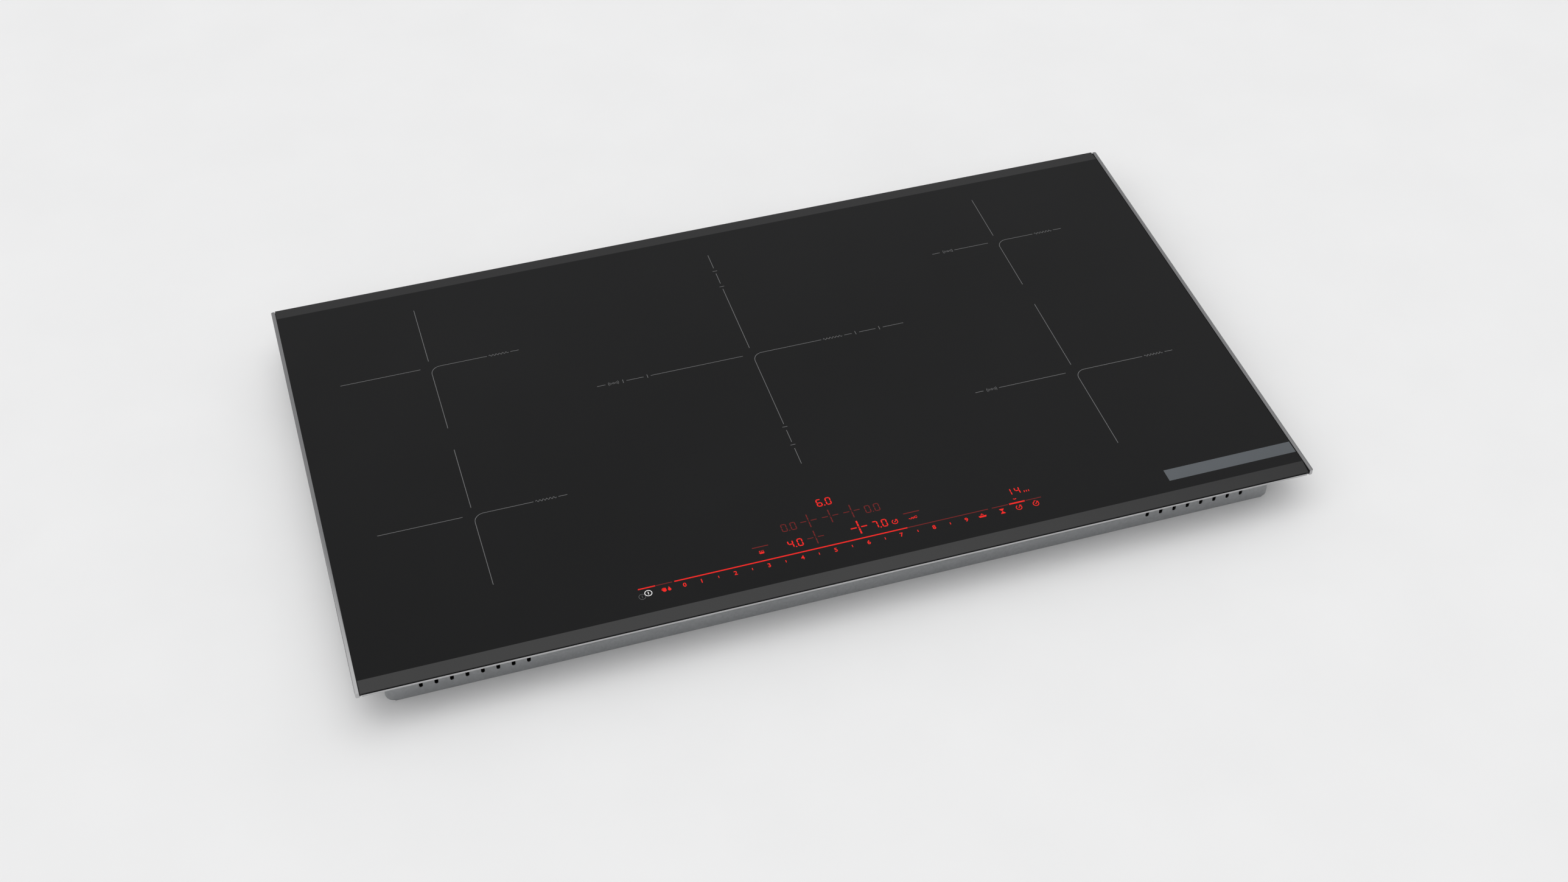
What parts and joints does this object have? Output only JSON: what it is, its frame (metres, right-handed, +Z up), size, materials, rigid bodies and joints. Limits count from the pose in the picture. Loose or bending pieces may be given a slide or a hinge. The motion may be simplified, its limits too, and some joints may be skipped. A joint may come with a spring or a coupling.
{
  "type": "electric induction cooktop",
  "caption": "Wide built-in induction cooktop: black glass with bevelled front and rear, metal side trims, touch controls, and a shallow steel case with sprung coils.",
  "frame": {"origin": "centre of the underside of the case, in the middle of the overall width and depth", "axes": "+X to the right as the cook sees it, +Y to the rear, +Z up out of the glass"},
  "size_m": [0.916, 0.527, 0.051],
  "materials": {
    "black_glass_ceramic": "polished black glass-ceramic, opaque, with grey screen print",
    "bright_steel_trim": "bright fine-brushed trim",
    "seal_foam": "closed-cell foam tape",
    "zinc_steel_sheet": "zinc-coated steel sheet with a soft spangle",
    "screw_steel": "zinc-plated screws",
    "spring_steel": "spring steel sheet",
    "plate_foil": "silver film label, blank",
    "aluminium_sheet": "mill finish",
    "copper_litz": "enamelled copper litz",
    "mica_sheet": "pressed mica",
    "circuit_board": "solder-masked board with its components",
    "pale_plastic": "moulded, satin",
    "black_plastic": "moulded, fine grain"
  },
  "bodies": {
    "case": {"blower_housing_left": "black_plastic", "blower_housing_right": "black_plastic", "cable_gland": "black_plastic", "case_tray": "zinc_steel_sheet", "clamp_screw_left_front": "screw_steel", "clamp_screw_left_rear": "screw_steel", "clamp_screw_right_front": "screw_steel", "clamp_screw_right_rear": "screw_steel", "coil_carrier_plate": "aluminium_sheet", "coil_spring_centre": "spring_steel", "coil_spring_left_front": "spring_steel", "coil_spring_left_rear": "spring_steel", "coil_spring_right_front": "spring_steel", "coil_spring_right_rear": "spring_steel", "control_board": "circuit_board", "control_holder": "black_plastic", "filter_board": "circuit_board", "filter_choke": "copper_litz", "front_strip": "bright_steel_trim", "glass_ceramic_top": "black_glass_ceramic", "glass_support_frame": "zinc_steel_sheet", "heat_sink_left": "aluminium_sheet", "heat_sink_right": "aluminium_sheet", "power_board_left": "circuit_board", "power_board_right": "circuit_board", "rating_plate": "plate_foil", "ribbon_lead": "pale_plastic", "side_profile_left": "bright_steel_trim", "side_profile_right": "bright_steel_trim", "terminal_block": "pale_plastic", "worktop_seal": "seal_foam"},
    "blower_left": {"blower_rotor_left": "black_plastic"},
    "blower_right": {"blower_rotor_right": "black_plastic"},
    "coil_left_rear": {"coil_former_left_rear": "black_plastic", "mica_disc_left_rear": "mica_sheet", "temperature_sensor_left_rear": "pale_plastic", "coil_winding_left_rear": "copper_litz"},
    "coil_left_front": {"coil_former_left_front": "black_plastic", "mica_disc_left_front": "mica_sheet", "temperature_sensor_left_front": "pale_plastic", "coil_winding_left_front": "copper_litz"},
    "coil_centre": {"coil_former_centre": "black_plastic", "mica_disc_centre": "mica_sheet", "temperature_sensor_centre": "pale_plastic", "coil_winding_centre_inner": "copper_litz", "coil_winding_centre_middle": "copper_litz", "coil_winding_centre_outer": "copper_litz"},
    "coil_right_rear": {"coil_former_right_rear": "black_plastic", "mica_disc_right_rear": "mica_sheet", "temperature_sensor_right_rear": "pale_plastic", "coil_winding_right_rear": "copper_litz"},
    "coil_right_front": {"coil_former_right_front": "black_plastic", "mica_disc_right_front": "mica_sheet", "temperature_sensor_right_front": "pale_plastic", "coil_winding_right_front": "copper_litz"},
    "clamp_left_front": {"clamp_arm_left_front": "zinc_steel_sheet"},
    "clamp_left_rear": {"clamp_arm_left_rear": "zinc_steel_sheet"},
    "clamp_right_front": {"clamp_arm_right_front": "zinc_steel_sheet"},
    "clamp_right_rear": {"clamp_arm_right_rear": "zinc_steel_sheet"},
    "terminal_flap": {"terminal_cover": "black_plastic"}
  },
  "joints": [
    {"name": "blower_left_spin", "type": "hinge", "parent": "case", "child": "blower_left", "pos_m": [-0.125, 0.045, 0.012], "axis": [0, 0, 1], "continuous": true},
    {"name": "blower_right_spin", "type": "hinge", "parent": "case", "child": "blower_right", "pos_m": [0.125, 0.045, 0.012], "axis": [0, 0, 1], "continuous": true},
    {"name": "coil_left_rear_float", "type": "slide", "parent": "case", "child": "coil_left_rear", "axis": [0, 0, 1], "range_m": [-0.0025, 0], "stiffness_N_per_m": 5000, "springref_m": 0.005, "deforming": ["coil_spring_left_rear"]},
    {"name": "coil_left_front_float", "type": "slide", "parent": "case", "child": "coil_left_front", "axis": [0, 0, 1], "range_m": [-0.0025, 0], "stiffness_N_per_m": 5000, "springref_m": 0.005, "deforming": ["coil_spring_left_front"]},
    {"name": "coil_centre_float", "type": "slide", "parent": "case", "child": "coil_centre", "axis": [0, 0, 1], "range_m": [-0.0025, 0], "stiffness_N_per_m": 12000, "springref_m": 0.005, "deforming": ["coil_spring_centre"]},
    {"name": "coil_right_rear_float", "type": "slide", "parent": "case", "child": "coil_right_rear", "axis": [0, 0, 1], "range_m": [-0.0025, 0], "stiffness_N_per_m": 5000, "springref_m": 0.005, "deforming": ["coil_spring_right_rear"]},
    {"name": "coil_right_front_float", "type": "slide", "parent": "case", "child": "coil_right_front", "axis": [0, 0, 1], "range_m": [-0.0025, 0], "stiffness_N_per_m": 5000, "springref_m": 0.005, "deforming": ["coil_spring_right_front"]},
    {"name": "clamp_left_front_swing", "type": "hinge", "parent": "case", "child": "clamp_left_front", "pos_m": [-0.4358, -0.15, 0.0126], "axis": [0, 0, 1], "range_deg": [0, 90]},
    {"name": "clamp_left_rear_swing", "type": "hinge", "parent": "case", "child": "clamp_left_rear", "pos_m": [-0.4358, 0.15, 0.0126], "axis": [0, 0, -1], "range_deg": [0, 90]},
    {"name": "clamp_right_front_swing", "type": "hinge", "parent": "case", "child": "clamp_right_front", "pos_m": [0.4358, -0.15, 0.0126], "axis": [0, 0, -1], "range_deg": [0, 90]},
    {"name": "clamp_right_rear_swing", "type": "hinge", "parent": "case", "child": "clamp_right_rear", "pos_m": [0.4358, 0.15, 0.0126], "axis": [0, 0, 1], "range_deg": [0, 90]},
    {"name": "terminal_cover_hinge", "type": "hinge", "parent": "case", "child": "terminal_flap", "pos_m": [0.37, 0.2406, 0.036], "axis": [1, 0, 0], "range_deg": [0, 95]}
  ]
}
